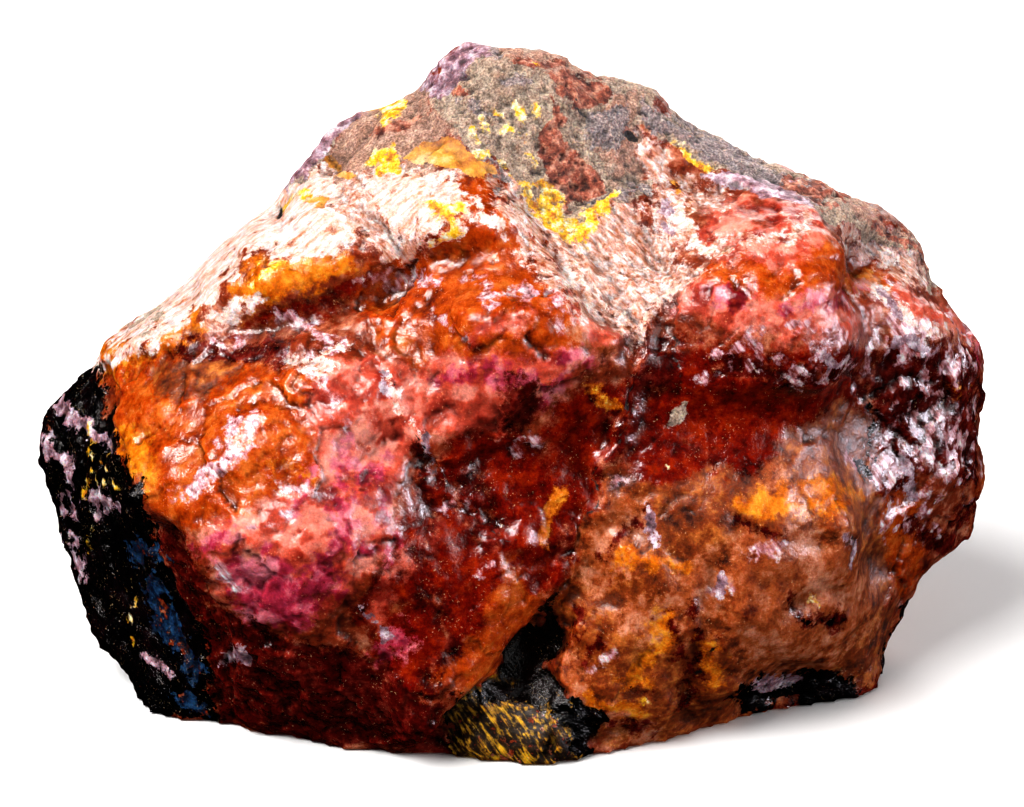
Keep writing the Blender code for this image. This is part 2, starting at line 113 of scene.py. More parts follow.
# Where each mineral shows on the near side, as patches and as streaks with their half width, in pixels. A
# half width below nought leaves a faint, broken line. The list goes from the lowest layer to the topmost.
NEAR_MINERALS = {
    "orange_glass": (
        [[(112, 372), (150, 345), (200, 350), (280, 372), (335, 366), (345, 430), (335, 485), (300, 505),
          (250, 525), (190, 525), (150, 508), (122, 450)],
         [(340, 262), (400, 255), (470, 256), (530, 266), (580, 298), (606, 330), (560, 362), (500, 374),
          (430, 374), (385, 340), (350, 300)],
         [(449, 599), (520, 545), (552, 590), (520, 650), (470, 690), (425, 670)],
         [(440, 186), (470, 178), (494, 182), (524, 214), (552, 262), (530, 280), (470, 260), (424, 250),
          (446, 214)],
         [(705, 264), (830, 240), (880, 258), (905, 300), (860, 305), (760, 294), (700, 292)],
         [(868, 470), (915, 480), (935, 535), (900, 590), (872, 560)],
         [(640, 540), (690, 530), (700, 600), (690, 690), (640, 690), (600, 660), (610, 600)]],
        [(8, [(640, 322), (660, 300)]), (6, [(974, 480), (972, 520)])],
    ),
    "brown_carbonate": (
        [[(571, 545), (600, 480), (680, 455), (770, 458), (800, 420), (840, 408), (872, 412), (890, 600),
          (880, 690), (800, 710), (640, 745), (560, 740), (548, 640)],
         [(146, 368), (186, 352), (228, 356), (240, 380), (205, 398), (160, 396)]],
        [(10, [(865, 215), (904, 240), (925, 270)]), (12, [(661, 190), (690, 200), (720, 214)]),
         # The streak from (240, 322) to (380, 268) is painted shade, in the groove under the upper slab.
         (8, [(240, 322), (290, 312), (343, 292), (380, 268)]), (8, [(400, 620), (440, 600), (470, 560)])],
    ),
    "salmon_carbonate": (
        [[(741, 520), (790, 535), (830, 530), (865, 561), (870, 627), (835, 660), (747, 672), (724, 643),
          (730, 594)],
         [(603, 483), (632, 500), (640, 560), (604, 596), (578, 580), (583, 530)],
         [(632, 604), (668, 600), (680, 636), (650, 652), (622, 638)],
         [(676, 552), (728, 548), (734, 600), (704, 626), (668, 600)],
         [(570, 300), (592, 307), (612, 335), (600, 365), (580, 350)]],
        [(9, [(560, 650), (590, 700), (640, 735)]), (6, [(690, 560), (672, 590)]),
         (6, [(770, 470), (795, 500)])],
    ),
    "deep_red_glass": (
        [[(690, 340), (786, 350), (865, 340), (866, 404), (820, 412), (790, 434), (756, 478), (700, 476),
          (668, 484), (630, 478), (612, 440), (640, 350)],
         [(400, 520), (420, 480), (450, 440), (520, 420), (560, 470), (540, 540), (500, 570), (440, 610),
          (396, 610), (376, 640), (356, 620), (384, 560)],
         [(560, 400), (630, 372), (612, 440), (588, 500), (566, 580), (540, 600), (510, 560), (520, 500),
          (545, 460)],
         [(452, 560), (500, 545), (515, 580), (470, 640), (430, 690), (380, 740), (330, 720), (372, 640),
          (410, 600)]],
        # This streak is painted shade, in the groove under the upper slab.
        [(7, [(240, 324), (290, 316), (343, 296), (380, 270)])],
    ),
    "rose_grains": (
        [[(300, 400), (330, 352), (392, 364), (430, 372), (438, 430), (408, 450), (396, 530), (345, 600),
          (290, 630), (222, 590), (200, 530), (262, 505), (330, 490)],
         [(430, 352), (560, 352), (600, 360), (560, 400), (500, 440), (440, 435), (418, 385)],
         [(690, 285), (740, 295), (850, 290), (870, 330), (800, 345), (720, 330), (680, 315)],
         [(708, 202), (747, 209), (793, 209), (822, 225), (825, 242), (793, 258), (747, 265), (714, 258),
          (701, 235)]],
        [(10, [(884, 300), (930, 310), (975, 345)]), (7, [(572, 300), (604, 340)]),
         (6, [(400, 560), (380, 620)]), (5, [(470, 330), (520, 318)])],
    ),
    "magenta_grains": (
        [[(218, 560), (262, 552), (300, 574), (330, 560), (344, 596), (300, 626), (246, 618)]],
        [(11, [(490, 375), (525, 372)]), (8, [(567, 362), (585, 360)]), (7, [(721, 298), (741, 296)]),
         (6, [(795, 305), (845, 300)]), (8, [(400, 640), (360, 680)]), (6, [(560, 385), (545, 400)]),
         (5, [(640, 300), (672, 306)]), (6, [(972, 330), (981, 360)]), (5, [(352, 440), (372, 500)]),
         (5, [(440, 382), (472, 372)]), (5, [(340, 520), (360, 545)]),
         (8, [(344, 440), (356, 500), (336, 556), (306, 590)]), (6, [(312, 470), (292, 524)]),
         (6, [(376, 470), (388, 530)]), (5, [(385, 560), (392, 540)]), (5, [(210, 545), (240, 530)])],
    ),
    "maroon_glass_and_shade": (
        # The patch along the bottom left is partly painted shade, darker where the stone is undercut.
        [[(150, 515), (183, 525), (222, 600), (300, 640), (372, 655), (440, 715), (470, 760), (300, 745),
          (212, 725), (196, 640)],
         [(871, 345), (936, 340), (975, 350), (979, 447), (969, 480), (930, 470), (880, 500), (865, 398)],
         [(708, 364), (741, 354), (793, 362), (858, 360), (865, 390), (800, 392), (740, 390), (706, 380)],
         [(645, 345), (672, 345), (668, 384), (650, 392), (628, 410)],
         [(452, 470), (480, 480), (506, 520), (500, 556), (470, 540), (445, 500)],
         [(183, 335), (230, 338), (290, 345), (300, 366), (230, 366), (180, 352)],
         [(514, 372), (545, 375), (540, 430), (512, 440), (500, 405)]],
        [(10, [(917, 530), (950, 545), (975, 500)]), (6, [(690, 600), (705, 640), (690, 700)]),
         # The wide streak from (745, 700) to (870, 688) is painted shade on the underside.
         (7, [(795, 606), (830, 620)]), (5, [(640, 692)]), (12, [(745, 700), (800, 700), (870, 688)]),
         (6, [(760, 350), (800, 372)]), (4, [(750, 520), (790, 545)]), (4, [(412, 448), (440, 470)]),
         (5, [(560, 640), (575, 610)]), (5, [(600, 560), (640, 520)]),
         (8, [(426, 462), (444, 520), (420, 560)]), (6, [(600, 400), (620, 430), (600, 470)]),
         (7, [(420, 600), (450, 640), (430, 680)]), (5, [(690, 440), (712, 470)]),
         (5, [(662, 620), (676, 660)]), (6, [(596, 640), (586, 660)]), (6, [(560, 560), (572, 530)]),
         (5, [(610, 724), (640, 728)]), (6, [(440, 690), (420, 730)])],
    ),
    "ochre_glass": (
        [[(225, 290), (262, 262), (310, 236), (353, 245), (350, 270), (300, 296), (240, 312)],
         [(85, 352), (120, 326), (160, 318), (195, 305), (205, 330), (160, 350), (122, 372), (111, 385)],
         [(740, 496), (790, 482), (850, 480), (856, 502), (810, 516), (760, 514)],
         [(121, 424), (146, 430), (158, 480), (145, 500), (128, 470)]],
        [(5, [(600, 395), (610, 400)]), (6, [(620, 560), (680, 560)]), (7, [(660, 620), (640, 680)]),
         (4, [(700, 640), (716, 680)]), (5, [(281, 470), (320, 480)]), (6, [(596, 700), (640, 716)]),
         (6, [(860, 280), (880, 300)]), (5, [(560, 500), (545, 540)]), (4, [(956, 389)])],
    ),
    "fibrous_carbonate": (
        [[(530, 209), (560, 242), (586, 229), (602, 209), (625, 202), (641, 209), (658, 229), (677, 258),
          (700, 271), (694, 294), (661, 313), (651, 330), (638, 345), (609, 323), (592, 300), (569, 284),
          (556, 261), (537, 240)],
         [(328, 153), (364, 163), (380, 196), (406, 229), (419, 255), (387, 258), (364, 240), (344, 215),
          (325, 183)],
         [(366, 166), (400, 160), (446, 166), (458, 180), (450, 214), (430, 240), (396, 240)],
         [(492, 186), (506, 190), (540, 245), (566, 290), (584, 312), (560, 300), (524, 246)],
         [(852, 222), (900, 240), (925, 280), (905, 290), (870, 262), (845, 240)]],
        [(11, [(641, 135), (651, 163), (665, 200), (680, 240)]), (9, [(680, 190), (720, 205)]),
         (7, [(498, 175), (540, 240), (590, 300), (636, 346)]), (6, [(716, 250), (800, 230)])],
    ),
    # Painted highlights: streaked near-white patches put into the colour where the gloss catches the light.
    "painted_highlight": (
        [[(209, 438), (232, 412), (258, 406), (262, 424), (240, 442), (214, 450)],
         [(170, 488), (200, 470), (244, 448), (262, 448), (250, 464), (215, 484), (185, 496)],
         [(292, 352), (318, 350), (332, 362), (322, 384), (300, 378)]],
        [(6, [(280, 322), (310, 326), (344, 342)]), (4, [(215, 338), (246, 334)]),
         (5, [(365, 280), (400, 268), (440, 290)]), (5, [(470, 282), (498, 300)]),
         (5, [(520, 292), (548, 300), (560, 324)]), (4, [(222, 572), (242, 584)]),
         (3, [(250, 528), (285, 520)]), (4, [(330, 400), (345, 420), (340, 450)]),
         (3, [(270, 492), (330, 500)]), (3, [(440, 320), (460, 335)]), (5, [(755, 552), (790, 548)]),
         (4, [(718, 590), (734, 592)]), (4, [(600, 668), (618, 660)]), (3, [(612, 486), (622, 480)]),
         (4, [(750, 345), (780, 356)]), (4, [(800, 330), (840, 342)]), (4, [(716, 352), (740, 348)]),
         (4, [(838, 300), (856, 312)]), (4, [(888, 336), (902, 350)]), (4, [(910, 360), (936, 350)]),
         (4, [(926, 452), (944, 476)]), (4, [(900, 500), (925, 500)]), (3, [(950, 420), (960, 440)]),
         (3, [(890, 420), (905, 410)]), (3, [(776, 376), (796, 380)]), (3, [(480, 575), (495, 560)]),
         (3, [(452, 500), (448, 515)]), (3, [(540, 440), (520, 455)]), (4, [(844, 450), (862, 462)]),
         (3, [(700, 380), (712, 372)]), (4, [(880, 318), (895, 330)])],
    ),
    "pale_crust": (
        [[(367, 172), (403, 168), (445, 172), (462, 190), (452, 214), (434, 238), (404, 242), (384, 226),
          (372, 200)],
         [(262, 254), (300, 226), (338, 196), (360, 206), (356, 232), (326, 248), (284, 264)],
         [(112, 334), (140, 308), (190, 262), (240, 206), (300, 160), (338, 176), (344, 214), (302, 240),
          (264, 256), (228, 284), (194, 312), (160, 332), (130, 344)]],
        [(5, [(520, 205), (543, 232), (563, 241), (583, 233)]), (5, [(677, 209), (694, 229), (712, 252)]),
         (5, [(640, 330), (655, 300), (680, 290)]), (4, [(420, 245), (455, 232), (470, 205)]),
         (6, [(120, 350), (150, 330), (180, 316)]), (6, [(84, 352), (104, 336), (128, 318)]),
         (4, [(878, 262), (900, 264)]), (5, [(96, 372), (120, 356), (140, 346)]),
         (4, [(200, 318), (240, 306), (262, 300)]), (5, [(868, 298), (900, 314), (934, 330)]),
         # The streak from (380, 376) to (412, 424) is painted light in the shaded hollow under the dome's
         # lip, and the wide one from (300, 362) to (326, 366) is a painted highlight.
         (4, [(150, 342), (186, 322)]), (3, [(380, 376), (400, 396), (412, 424)]),
         (5, [(612, 300), (630, 330)]), (9, [(300, 362), (326, 366)]), (4, [(560, 270), (600, 300)]),
         (3, [(330, 345), (352, 340)]), (4, [(452, 186), (480, 205), (500, 235)])],
    ),
    "weathered_rind": (
        [[(429, 95), (452, 59), (465, 38), (504, 36), (550, 42), (602, 70), (654, 88), (680, 122),
          (641, 133), (635, 144), (648, 183), (635, 202), (609, 202), (596, 222), (569, 232), (543, 222),
          (517, 196), (504, 170), (485, 153), (465, 144), (439, 114)],
         [(640, 84), (690, 120), (790, 168), (850, 192), (920, 236), (935, 290), (905, 252), (840, 222),
          (790, 190), (710, 170), (660, 140)],
         [(125, 322), (155, 308), (166, 318), (140, 332)],
         [(674, 404), (686, 402), (692, 414), (688, 428), (678, 430), (672, 418)]],
        [(7, [(428, 92), (446, 118)]), (5, [(300, 175), (330, 142), (353, 112)])],
    ),
    "mauve_rind": (
        [[(332, 138), (362, 96), (413, 78), (434, 98), (456, 140), (476, 166), (430, 172), (380, 170),
          (330, 172)],
         [(498, 40), (550, 46), (600, 74), (560, 78), (520, 62), (500, 56)],
         [(604, 92), (640, 100), (642, 180), (612, 182), (600, 140)]],
        [(6, [(850, 196), (905, 232)])],
    ),
    "slate_rind": (
        [[(639, 98), (669, 104), (682, 124), (721, 144), (760, 163), (790, 176), (825, 196), (806, 201),
          (767, 185), (741, 175), (714, 165), (695, 147), (669, 139), (649, 133)],
         [(588, 110), (622, 108), (636, 130), (618, 148), (594, 138)]],
        [(5, [(595, 207), (612, 190)]), (5, [(491, 52)]), (5, [(500, 90), (520, 84)]),
         (4, [(489, 155), (500, 185)]), (5, [(470, 105), (490, 120)]), (5, [(600, 200), (640, 190)])],
    ),
    "brick_rind": (
        [[(546, 122), (562, 114), (576, 140), (590, 160), (602, 186), (590, 205), (562, 214), (548, 200),
          (548, 160)],
         [(550, 74), (580, 72), (606, 88), (602, 104), (570, 104), (552, 92)]],
        [(6, [(520, 58), (560, 66)]), (5, [(880, 218), (905, 236), (922, 262)]),
         (5, [(790, 180), (840, 200)]), (4, [(452, 80), (470, 92)]), (5, [(370, 125), (420, 120)]),
         (4, [(540, 100), (556, 120)])],
    ),
    "black_oxide_and_shade": (
        [[(98, 366), (111, 395), (114, 418), (131, 463), (150, 509), (163, 540), (170, 570), (190, 600),
          (206, 640), (216, 728), (140, 720), (95, 660), (60, 560), (30, 460), (50, 380)],
         # The patch at the foot and the strip along the bottom right are painted shade, black where the lobes
         # above overhang them.
         [(452, 694), (500, 668), (524, 642), (546, 606), (560, 596), (550, 640), (544, 670), (570, 696),
          (606, 712), (590, 756), (530, 768), (452, 758)],
         [(735, 680), (800, 672), (860, 676), (874, 692), (800, 706), (740, 714)]],
        [(2, [(870, 396), (868, 440), (872, 470)]), (4, [(905, 600), (890, 640), (884, 672)]),
         (3, [(640, 692)]), (2, [(800, 612), (822, 618)])],
    ),
    "golden_fibres": (
        [[(452, 722), (470, 702), (500, 700), (540, 706), (562, 728), (576, 756), (530, 772), (456, 766)]],
        [(3, [(470, 690), (490, 676), (520, 680)]), (2, [(556, 690), (566, 706)])],
    ),
    # Partly a real lavender film on the oxide and the rind, partly painted sheen and highlights: the band on
    # the right dome and the streaks in the right column.
    "lavender_film_and_sheen": (
        [[(424, 96), (438, 74), (450, 52), (462, 36), (480, 34), (488, 50), (474, 64), (462, 82),
          (446, 96)],
         [(700, 176), (760, 176), (800, 190), (824, 208), (790, 208), (756, 202), (720, 194)],
         [(750, 682), (770, 674), (803, 676), (800, 688), (760, 690)]],
        [(9, [(290, 176), (322, 140), (350, 106)]), (6, [(56, 411), (75, 421), (91, 427)]),
         (6, [(44, 442), (59, 457), (65, 476)]), (6, [(95, 438), (108, 448)]),
         (5, [(97, 499), (107, 508)]), (6, [(150, 655), (160, 661)]), (4, [(372, 378), (388, 395)]),
         (3, [(662, 200), (676, 240)]), (7, [(222, 660), (238, 655)]), (4, [(727, 595), (722, 570)]),
         (3, [(424, 432), (430, 466)]), (4, [(78, 540), (84, 580)]), (3, [(64, 490), (72, 520)]),
         (4, [(372, 600), (385, 640)]), (4, [(640, 510), (650, 540)]), (5, [(900, 452), (912, 500)]),
         (4, [(850, 545), (852, 570)]), (4, [(872, 300), (896, 318)]),
         (5, [(884, 352), (904, 340), (930, 348)]), (3, [(820, 352), (846, 360)])],
    ),
    "blue_oxide": (
        [],
        [(9, [(142, 548), (156, 556)]), (6, [(146, 585), (166, 625), (196, 672)]),
         (6, [(180, 690), (200, 712)])],
    ),
    "yellow_limonite": (
        [[(370, 108), (386, 100), (398, 102), (400, 112), (386, 118)],
         [(366, 162), (376, 152), (386, 158), (390, 142), (396, 156), (406, 160), (404, 176), (380, 178)],
         [(528, 190), (545, 184), (556, 200), (560, 222), (582, 224), (600, 204), (612, 184), (616, 196),
          (604, 222), (588, 240), (562, 246), (542, 232)]],
        [(3, [(519, 187), (528, 209), (545, 229)]), (2, [(492, 112), (500, 118)]),
         (2, [(512, 108), (518, 116)]), (2, [(527, 113), (531, 118)]), (1, [(506, 128), (512, 136)]),
         (1, [(522, 134), (530, 142)]), (2, [(484, 122), (488, 126)]), (1, [(536, 160), (541, 170)]),
         (1, [(540, 62), (546, 66)]), (1, [(474, 128), (486, 148), (502, 170), (517, 189)]),
         (1, [(478, 150), (492, 158), (500, 166)]), (4, [(677, 147), (694, 160), (710, 170)]),
         (4, [(425, 210), (445, 218), (458, 212)]), (3, [(430, 243), (458, 228)]),
         (1, [(90, 430), (96, 424)]), (-1.2, [(95, 421), (88, 457), (95, 496), (87, 542)]),
         (-1, [(105, 456), (113, 448)]), (-1.6, [(122, 558), (131, 600), (137, 640)]),
         (3, [(283, 203), (300, 194)]), (-1, [(100, 470), (118, 486)]), (2, [(956, 389)]),
         (2, [(668, 459)]), (2, [(817, 590), (822, 602)]), (1, [(600, 393), (608, 398)]),
         (3, [(254, 284), (280, 262)]), (3, [(530, 190), (548, 204)]), (2, [(640, 700), (650, 706)])],
    ),
    "ochre_crescent": (
        [[(408, 158), (420, 146), (444, 138), (468, 146), (486, 160), (496, 180), (476, 174), (450, 167),
          (425, 166)]],
        [(4, [(325, 160), (350, 172)]), (3, [(330, 196), (300, 200)]), (3, [(668, 186), (672, 196)])],
    ),
    "crack_filling": (
        [],
        [(0.5, MAIN_CRACK), (0.3, LEFT_CRACK), (0.5, [(865, 385), (868, 440), (868, 480)]),
         (0.3, [(668, 330), (676, 380), (672, 400)]), (3.0, [(278, 208), (283, 211)]),
         (0.3, [(714, 640), (700, 680), (690, 705)]), (0.3, [(852, 540), (845, 575)]),
         (3.0, [(632, 133), (640, 142)]), (1.0, [(575, 100), (590, 112)]),
         (0.6, [(255, 318), (300, 306)])],
    ),
}
# The same on the far side, in millimetres to the right as seen from in front, and up.
FAR_MINERALS = {
    "orange_glass": (
        [[(-26, 4), (-20, 22), (-4, 28), (10, 24), (16, 12), (4, 2)], [(20, 18), (30, 26), (36, 16)]],
        [],
    ),
    "brown_carbonate": (
        [[(2, -2), (8, 10), (14, 18), (24, 24), (45, 28), (45, -2)],
         [(-20, -2), (-18, 8), (-8, 10), (-4, -2)]],
        [(2, [(-24, 24), (-10, 29), (4, 27)])],
    ),
    "salmon_carbonate": (
        [[(16, 3), (22, 14), (31, 15), (36, 4)], [(-2, 12), (4, 18), (9, 14), (4, 9)]],
        [],
    ),
    "deep_red_glass": (
        [[(-22, 10), (-10, 22), (0, 20), (4, 8), (-6, 5), (-16, 5)]],
        [(3, [(14, 26), (30, 20)])],
    ),
    "rose_grains": (
        [[(8, 24), (16, 32), (24, 27), (18, 19)], [(-20, 22), (-14, 27), (-9, 22), (-15, 18)]],
        [],
    ),
    "magenta_grains": ([[(-12, 25), (-5, 30), (1, 26), (-6, 22)]], [(1.5, [(12, 22), (20, 25)])]),
    "maroon_glass_and_shade": (
        [[(-28, -2), (-26, 12), (-16, 8), (-12, -2)], [(34, 10), (30, 22), (45, 26), (45, 8)]],
        [(2, [(0, 22), (6, 16), (5, 6)])],
    ),
    "ochre_glass": ([[(6, 10), (12, 16), (18, 12), (12, 6)]], [(1.5, [(-8, 18), (-2, 12)])]),
    "fibrous_carbonate": (
        [[(-26, 26), (-10, 34), (0, 30), (8, 34), (22, 31), (34, 24), (24, 27), (10, 30), (0, 26),
          (-10, 29), (-20, 23)]],
        [],
    ),
    "painted_highlight": (
        [],
        [(0.8, [(-12, 20), (-6, 18)]), (0.6, [(10, 22), (16, 24)]), (0.7, [(20, 10), (26, 13)]),
         (0.6, [(-2, 6), (3, 10)])],
    ),
    "pale_crust": ([], [(1.0, [(-22, 27), (-12, 32), (-4, 31)]), (0.8, [(12, 32), (24, 28)])]),
    "weathered_rind": (
        [[(-45, 70), (-45, 34), (-26, 28), (-10, 35), (0, 31), (10, 36), (22, 32), (34, 26), (45, 24),
          (45, 70)]],
        [],
    ),
    "mauve_rind": (
        [[(-24, 30), (-10, 38), (-4, 34), (-12, 30)], [(10, 46), (20, 42), (16, 37), (8, 40)]],
        [],
    ),
    "slate_rind": ([[(-6, 40), (4, 46), (14, 42), (6, 37)], [(22, 36), (30, 34), (34, 28), (26, 30)]], []),
    "brick_rind": (
        [[(16, 37), (22, 38), (24, 33), (18, 33)], [(-16, 36), (-10, 40), (-8, 37), (-13, 34)]],
        [],
    ),
    "black_oxide_and_shade": ([[(-45, -2), (-45, 34), (-31, 33), (-28, 22), (-26, 8), (-24, -2)]], []),
    "golden_fibres": ([], []),
    "lavender_film_and_sheen": (
        [],
        [(1.0, [(-30, 28), (-34, 20)]), (0.8, [(-28, 16), (-31, 8)]), (1.2, [(24, 22), (31, 17)])],
    ),
    "blue_oxide": ([], [(0.8, [(-31, 18), (-29, 8)])]),
    "yellow_limonite": (
        [],
        [(0.7, [(-14, 34), (-4, 31), (4, 33)]), (0.5, [(-29, 30), (-30, 18), (-28, 10)]),
         (0.8, [(10, 40), (14, 38)])],
    ),
    "ochre_crescent": ([], [(1.0, [(-20, 31), (-12, 34)]), (0.8, [(14, 33), (20, 31)])]),
    "crack_filling": (
        [],
        [(0.15, [(-20, 38), (-12, 30), (-10, 18), (-2, 6)]), (0.15, [(14, 40), (18, 30), (26, 22)])],
    ),
}
# How softly a mineral gives way to its neighbour, in pixels, with the thin ones apart, and what a pixel is
# on the far side, in millimetres. Then how far the edges wander, and over what length.
SOFTNESS = 14
THIN_SOFTNESS = {
    "yellow_limonite": 5.0, "crack_filling": 2.5, "lavender_film_and_sheen": 6, "blue_oxide": 7, "ochre_crescent": 6,
    "golden_fibres": 8, "painted_highlight": 8, "pale_crust": 8, "brick_rind": 8, "slate_rind": 9,
    "weathered_rind": 9, "black_oxide_and_shade": 8,
}
FAR_PIXEL = 0.11
EDGE_WANDER = 1.1 * MILLIMETRE
EDGE_WANDER_LENGTH = 4 * MILLIMETRE


def stray(point, length):
    """How an edge wanders at a point, as a vector of about one in length."""
    place = point / length
    apart = Vector((31.0, 17.0, 53.0))
    return Vector([noise.fractal(place + number * apart, 1.0, 2.0, 3) for number in range(3)])


def smoothed(values, ends, times):
    """The values at the vertices, each made more like its neighbours' along the edges, several times."""
    count = len(values)
    neighbours = np.bincount(ends.reshape(-1), minlength=count)[:, None]
    shape = values.shape
    values = values.reshape(count, -1)
    for _ in range(times):
        total = np.stack([
            np.bincount(ends[:, 0], weights=column[ends[:, 1]], minlength=count)
            + np.bincount(ends[:, 1], weights=column[ends[:, 0]], minlength=count)
            for column in values.T
        ], axis=1)
        values = (values + total / neighbours) / 2
    return values.reshape(shape)


def read_array(collection, what, width):
    """One property of every vertex, edge or normal of a mesh, as an array."""
    found = np.empty(len(collection) * width, np.int32 if what == "vertices" else np.float32)
    collection.foreach_get(what, found)
    return found.reshape(-1, width) if width > 1 else found


def put_places(mesh, places):
    """Moves the vertices of a mesh to these places."""
    mesh.vertices.foreach_set("co", places.astype(np.float32).reshape(-1))
    mesh.update()


def shown(name, mesh):
    """A new object in the scene for a mesh, a lamp or a camera."""
    made = bpy.data.objects.new(name, mesh)
    bpy.context.scene.collection.objects.link(made)
    return made


def modified(holder):
    """A new mesh of what an object looks like after its modifiers. The object goes."""
    made = bpy.data.meshes.new_from_object(holder.evaluated_get(bpy.context.evaluated_depsgraph_get()))
    bpy.data.objects.remove(holder)
    return made


def fine_skin():
    """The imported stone's skin in small even cells, in its own mesh."""
    form = bmesh.new()
    form.from_mesh(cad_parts["rhodochrosite_stone"].data)
    bmesh.ops.remove_doubles(form, verts=form.verts[:], dist=SAME_PLACE)
    coarse = bpy.data.meshes.new("coarse_skin")
    form.to_mesh(coarse)
    form.free()
    holder = shown("coarse_skin", coarse)
    cells = holder.modifiers.new("even cells", "REMESH")
    cells.mode = "VOXEL"
    cells.voxel_size = SKIN_CELL
    fine = modified(holder)
    bpy.data.meshes.remove(coarse)
    fine.name = "rhodochrosite_surface"
    return fine


def refined_near(mesh):
    """Splits the cells that face the eye, where the grains were mapped, and makes every face a triangle."""
    form = bmesh.new()
    form.from_mesh(mesh)
    form.normal_update()
    facing = {face for face in form.faces if face.normal.dot(TOWARD_EYE) > FINER_TURN}
    edges = [edge for edge in form.edges if all(face in facing for face in edge.link_faces)]
    bmesh.ops.subdivide_edges(form, edges=edges, cuts=1, use_grid_fill=True)
    bmesh.ops.triangulate(form, faces=form.faces[:])
    form.to_mesh(mesh)
    form.free()


surface = fine_skin()
refined_near(surface)
ends = read_array(surface.edges, "vertices", 2)
packed = read_array(surface.vertices, "co", 3).astype(float)
resting = packed[:, 2] < RESTING_HEIGHT
rounded = smoothed(packed, ends, FACET_SMOOTHING)
surface.vertices.foreach_set("co", rounded.astype(np.float32).reshape(-1))


def ground_down(mesh, times):
    """The places of the vertices after the whole mesh is smoothed so many times."""
    holder = shown("ground_down", mesh)
    grinding = holder.modifiers.new("grinding", "SMOOTH")
    grinding.factor = 0.5
    grinding.iterations = times
    ground = modified(holder)
    places = read_array(ground.vertices, "co", 3).astype(float)
    bpy.data.meshes.remove(ground)
    return places


# Where the real stone flows on without a step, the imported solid's ledges are worn down, with a soft edge in
# pixels. Skin that has turned further than this from the eye isn't worn.
WORN_PLACES = [
    [(520, 325), (575, 325), (590, 355), (570, 385), (520, 380)],
    [(585, 400), (640, 385), (720, 392), (865, 380), (905, 400), (905, 500), (800, 505), (700, 500),
     (610, 480)],
    [(170, 318), (240, 322), (330, 325), (350, 350), (330, 385), (240, 385), (160, 378)],
    [(640, 300), (700, 300), (860, 300), (870, 350), (860, 392), (720, 392), (640, 380)],
]
WEAR = 520
WORN_SOFTNESS = 26
WORN_TURN = -0.2
worn = share_of(places_in_photograph(rounded), WORN_PLACES, [], WORN_SOFTNESS)[:, None]
worn *= (read_array(surface.vertices, "normal", 3) @ np.array(TOWARD_EYE) > WORN_TURN)[:, None]
rounded = rounded + worn * (ground_down(surface, WEAR) - rounded)
rounded[resting] = packed[resting]
put_places(surface, rounded)
outward = read_array(surface.vertices, "normal", 3).astype(float)
count = len(rounded)

# Where the near side's map gives way to the far side's: how far the skin has turned from the eye there, how
# softly that goes, and how much the skin is evened out to tell. Films, and the painted highlights and sheen,
# leave what lies under them its own relief, and every other mineral takes the whole place.
LAST_TURN = 0.42
TURN_SOFTNESS = 0.2
TURN_SMOOTHING = 7
FILMS = ("yellow_limonite", "crack_filling", "lavender_film_and_sheen", "painted_highlight")
wandering = np.array([stray(Vector(point), EDGE_WANDER_LENGTH) for point in rounded]) * EDGE_WANDER
in_photograph = places_in_photograph(rounded + wandering)
upright = (rounded + wandering)[:, [0, 2]] / MILLIMETRE
facing_eye = smoothed(outward, ends, TURN_SMOOTHING) @ np.array(TOWARD_EYE)
near_side = np.clip((facing_eye + LAST_TURN) / TURN_SOFTNESS, 0.0, 1.0)
minerals = {}
for name, (patches, streaks) in NEAR_MINERALS.items():
    softness = THIN_SOFTNESS.get(name, SOFTNESS)
    near = share_of(in_photograph, patches, streaks, softness)
    far = share_of(upright, *FAR_MINERALS[name], softness * FAR_PIXEL)
    share = near_side * near + (1 - near_side) * far
    if name not in FILMS:
        for lower in minerals:
            minerals[lower] = minerals[lower] * (1 - 0.999 * np.clip(share * 2 - 1, 0, 1))
    minerals[name] = share

# Painted glints: small cells painted pale as highlights, in the painted highlight places and, in crowds, in
# the dark glass on the right. Sizes are in millimetres. Their tones run from -1 to 1, and those above the
# rarity are painted bright.
GLINT = 0.9
GLINT_NARROWER = 1.5
GLINT_TALLER = 0.8
GLINT_CROWD = 3.2
GLINT_CROWD_LEVEL = 0.55
GLINT_CROWD_SWING = 1.6
SPARKLE_STRENGTH = 0.85
SPARKLE_RARITY = 0.25
HIGHLIGHT_RARITY = -0.35
FAINT_HIGHLIGHT = 0.35
PAINTED_GLINT_PLACES = [
    [(862, 280), (900, 290), (985, 330), (990, 470), (960, 520), (890, 540), (868, 480)],
    [(728, 334), (760, 322), (862, 322), (864, 374), (800, 382), (736, 376)],
]

# The relief, as pairs of a size and a height in millimetres. All of the stone swells a little and is rough,
# the glass less so. Glassy carbonate breaks in shallow scallops with sharp rims and in cleavage faces, and
# its grains stand out like beads; the rind is pitted, the fibrous sheets are combed one way, and the oxide
# flank is stepped.
SWELLS = (5.0, 0.16)
ROUGH = (0.9, 0.10)
GLASS_SMOOTHER = 0.05
SCALLOPS = ((6.5, 0.30), (3.3, 0.10))
CLEAVAGE = ((5.2, 0.90), (2.3, 0.26), (1.0, 0.07))
BEADS = ((2.1, 0.15), (1.1, 0.05))
STEPS = ((3.4, 0.60), (1.7, 0.34))
PITS = (0.8, 0.16)
PIT_START = 0.25
PIT_DEPTH = 1.4
GRAIN = 1.6
WARP = (1.6, 0.5)
# The fibres' width and length are in pixels, and so is the way that they run.
FIBRE_HEIGHT = 0.256
FIBRE_WIDTH = 9
FIBRE_LENGTH = 120
FIBRE_RUN = Vector((0.56, 0.83))
# The level that is taken off each form, so that the skin as a whole stays where it is.
MEAN_SCALLOP = 0.4
MEAN_BEAD = 0.6
